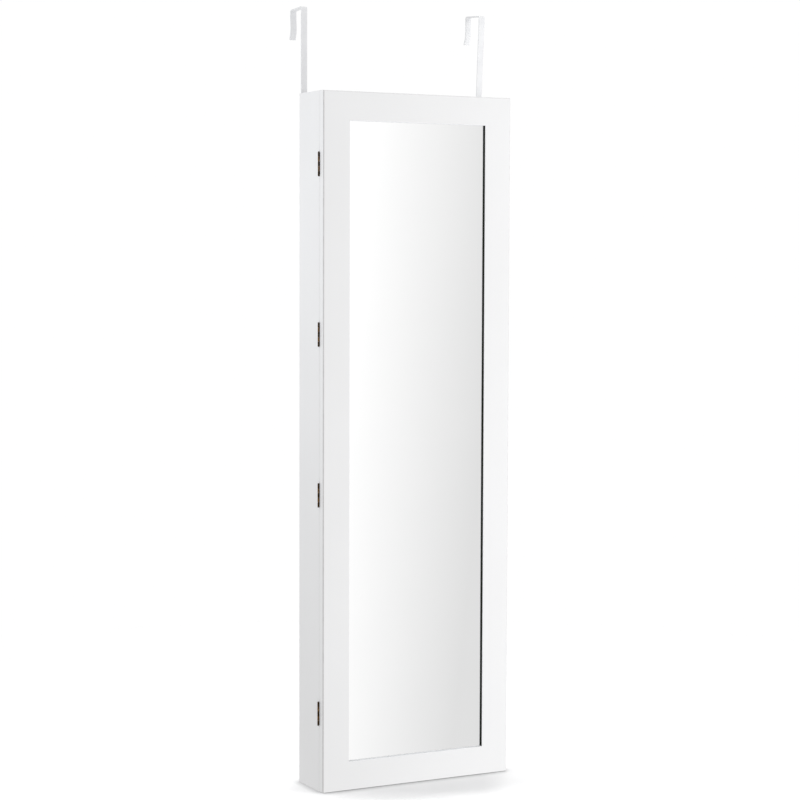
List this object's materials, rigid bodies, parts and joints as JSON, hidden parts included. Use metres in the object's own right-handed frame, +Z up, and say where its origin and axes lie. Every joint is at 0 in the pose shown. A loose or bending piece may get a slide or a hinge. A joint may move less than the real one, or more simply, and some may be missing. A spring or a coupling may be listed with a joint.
{
  "type": "jewelry mirror cabinet",
  "caption": "Tall shallow white jewelry cabinet with a full-length mirror door on butt hinges and flat hooks that go over a room door.",
  "frame": {"origin": "middle of the cabinet's footprint on the floor, door included, hooks and hinge barrels left out", "axes": "+X to the right seen from the mirror side, +Y from the mirror to the back, +Z up along the cabinet's height"},
  "size_m": [0.3693, 0.1476, 1.3555],
  "materials": {
    "white_panels": "smooth white foil over board, satin",
    "white_door": "smooth white foil over board, satin",
    "back_board": "white faced hardboard, satin",
    "bare_wood": "plain beech",
    "black_lining": "short black velvet on card",
    "ring_velvet": "black velvet over foam",
    "shelf_board": "smooth white foil over board, satin",
    "steel_rod": "polished chrome plate",
    "zinc_pins": "zinc plated",
    "catch_plastic": "moulded, fine matt",
    "magnet_ferrite": "ground dark ferrite",
    "zinc_screws": "zinc plated",
    "clear_rubber": "soft, satin",
    "hook_enamel": "white enamel on flat steel strip",
    "antique_bronze": "antique bronze plate, worn bright on the high spots",
    "mirror_glass": "silvered, clear and flat",
    "black_strip": "matt black",
    "black_metal": "black enamel, satin",
    "tray_board": "black painted board, satin"
  },
  "bodies": {
    "cabinet": {"left_side_panel": "white_panels", "right_side_panel": "white_panels", "bottom_panel": "white_panels", "top_panel": "white_panels", "back_panel": "back_board", "corner_dowels": "bare_wood", "hanging_rail": "shelf_board", "back_lining": "black_lining", "left_lining": "black_lining", "right_lining": "black_lining", "shelf_1": "shelf_board", "shelf_2": "shelf_board", "shelf_3": "shelf_board", "shelf_pins": "zinc_pins", "guard_rail_1": "steel_rod", "guard_rail_2": "steel_rod", "guard_rail_3": "steel_rod", "guard_rail_4": "steel_rod", "bracelet_rod": "steel_rod", "rod_cups": "steel_rod", "ring_tray": "tray_board", "necklace_rail": "tray_board", "necklace_hooks": "steel_rod", "catch_housings": "catch_plastic", "catch_magnets": "magnet_ferrite", "case_screws": "zinc_screws", "bumper_dots": "clear_rubber", "left_door_hook": "hook_enamel", "right_door_hook": "hook_enamel", "door_hook_screws": "zinc_screws", "hinge_case_screws": "antique_bronze", "ring_roll_1": "ring_velvet", "ring_roll_2": "ring_velvet", "ring_roll_3": "ring_velvet", "ring_roll_4": "ring_velvet", "ring_roll_5": "ring_velvet", "ring_roll_6": "ring_velvet", "hinge_1_case_leaf": "antique_bronze", "hinge_1_pin": "antique_bronze", "hinge_2_case_leaf": "antique_bronze", "hinge_2_pin": "antique_bronze", "hinge_3_case_leaf": "antique_bronze", "hinge_3_pin": "antique_bronze", "hinge_4_case_leaf": "antique_bronze", "hinge_4_pin": "antique_bronze"},
    "door": {"door_frame": "white_door", "mirror_pane": "mirror_glass", "backing_board": "back_board", "door_lining": "black_lining", "glazing_strips": "black_strip", "strike_plates": "zinc_pins", "backing_clips": "black_metal", "earring_bars": "black_metal", "door_screws": "zinc_screws", "hinge_door_screws": "antique_bronze", "hinge_1_door_leaf": "antique_bronze", "hinge_2_door_leaf": "antique_bronze", "hinge_3_door_leaf": "antique_bronze", "hinge_4_door_leaf": "antique_bronze"}
  },
  "joints": [
    {"name": "door_swing", "type": "hinge", "parent": "cabinet", "child": "door", "pos_m": [-0.1838, -0.0335, 0.6], "axis": [0, 0, -1], "range_deg": [0, 180]}
  ]
}
